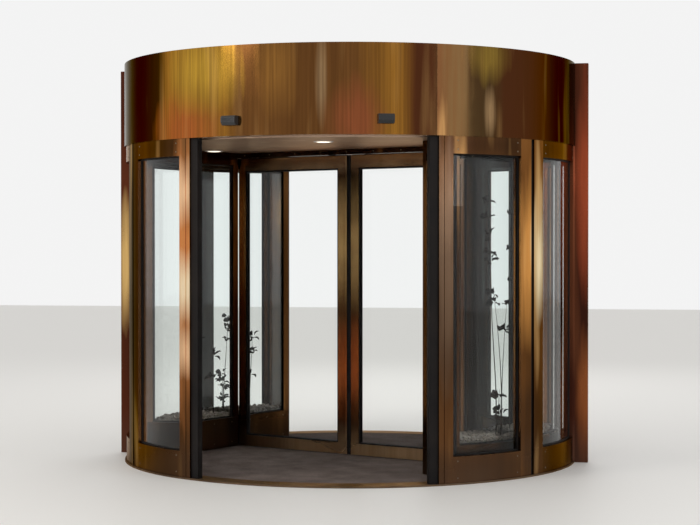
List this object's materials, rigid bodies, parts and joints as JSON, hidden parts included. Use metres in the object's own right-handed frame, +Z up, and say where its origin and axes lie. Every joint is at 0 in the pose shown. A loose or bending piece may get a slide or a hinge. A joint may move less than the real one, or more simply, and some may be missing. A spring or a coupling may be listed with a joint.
{
  "type": "two wing automatic revolving door",
  "caption": "Revolving door in a curved glass drum with a tall bronze canopy; the rotor carries showcases and a straight wing line with sliding leaves.",
  "frame": {"origin": "middle of the drum at floor level", "axes": "+Z up, +X to the right along the facade line when seen from the lobby, +Y towards the street"},
  "size_m": [3.6466, 3.4498, 3],
  "materials": {
    "floor_metal": "brushed, bronze toned",
    "entrance_mat": "ribbed entrance mat, dark brown grey",
    "wall_glass": "clear bent glass",
    "case_glass": "clear glass",
    "leaf_glass": "clear glass",
    "frame_bronze": "satin bronze",
    "leaf_bronze": "satin bronze",
    "post_bronze": "satin bronze, redder",
    "plinth_bronze": "satin bronze",
    "facade_bronze": "red bronze coating",
    "ceiling_bronze": "satin bronze sheet",
    "polished_bronze": "polished bronze",
    "roof_sheet": "matt coated sheet",
    "hidden_steel": "grey primed steel",
    "black_rubber": "matt black",
    "black_brush": "black bristles",
    "sensor_black": "satin black",
    "lamp_white": "white, with a bright lens"
  },
  "bodies": {
    "drum": {"floor_ring": "floor_metal", "floor_mat": "entrance_mat", "wall_glass_right_front": "wall_glass", "wall_glass_right_back": "wall_glass", "wall_glass_left_front": "wall_glass", "wall_glass_left_back": "wall_glass", "wall_rails_right": "frame_bronze", "wall_rails_left": "frame_bronze", "jambs_front": "frame_bronze", "jambs_back": "frame_bronze", "rubber_strips": "black_rubber", "mid_posts_right": "post_bronze", "mid_posts_left": "post_bronze", "facade_post_right": "facade_bronze", "facade_post_left": "facade_bronze", "soffit_ring": "ceiling_bronze", "canopy_frame": "hidden_steel", "canopy_fascia_front": "polished_bronze", "canopy_fascia_back": "polished_bronze", "canopy_roof": "roof_sheet", "bearing_housing": "hidden_steel", "motion_sensors": "sensor_black"},
    "rotor": {"rotor_ceiling": "ceiling_bronze", "rotor_shaft": "hidden_steel", "header_beam": "frame_bronze", "downlights": "lamp_white", "brush_seals": "black_brush", "showcase_right_plinth": "plinth_bronze", "showcase_right_frame": "frame_bronze", "showcase_right_side_glass": "case_glass", "showcase_right_outer_glass": "case_glass", "showcase_right_pocket": "case_glass", "showcase_left_plinth": "plinth_bronze", "showcase_left_frame": "frame_bronze", "showcase_left_side_glass": "case_glass", "showcase_left_outer_glass": "case_glass", "showcase_left_pocket": "case_glass"},
    "leaf_right": {"leaf_right_frame": "leaf_bronze", "leaf_right_glass": "leaf_glass", "leaf_right_seal": "black_rubber", "leaf_right_carriages": "hidden_steel"},
    "leaf_left": {"leaf_left_frame": "leaf_bronze", "leaf_left_glass": "leaf_glass", "leaf_left_seal": "black_rubber", "leaf_left_carriages": "hidden_steel"}
  },
  "joints": [
    {"name": "rotor_turn", "type": "hinge", "parent": "drum", "child": "rotor", "pos_m": [0, 0, 0], "axis": [0, 0, 1], "continuous": true},
    {"name": "leaf_right_slide", "type": "slide", "parent": "rotor", "child": "leaf_right", "axis": [0.9063, -0.4226, 0], "range_m": [0, 0.455]},
    {"name": "leaf_left_slide", "type": "slide", "parent": "rotor", "child": "leaf_left", "axis": [-0.9063, 0.4226, 0], "range_m": [0, 0.455]}
  ],
  "couplings": [
    {"joint": "leaf_left_slide", "follows": "leaf_right_slide", "ratio": 1}
  ]
}
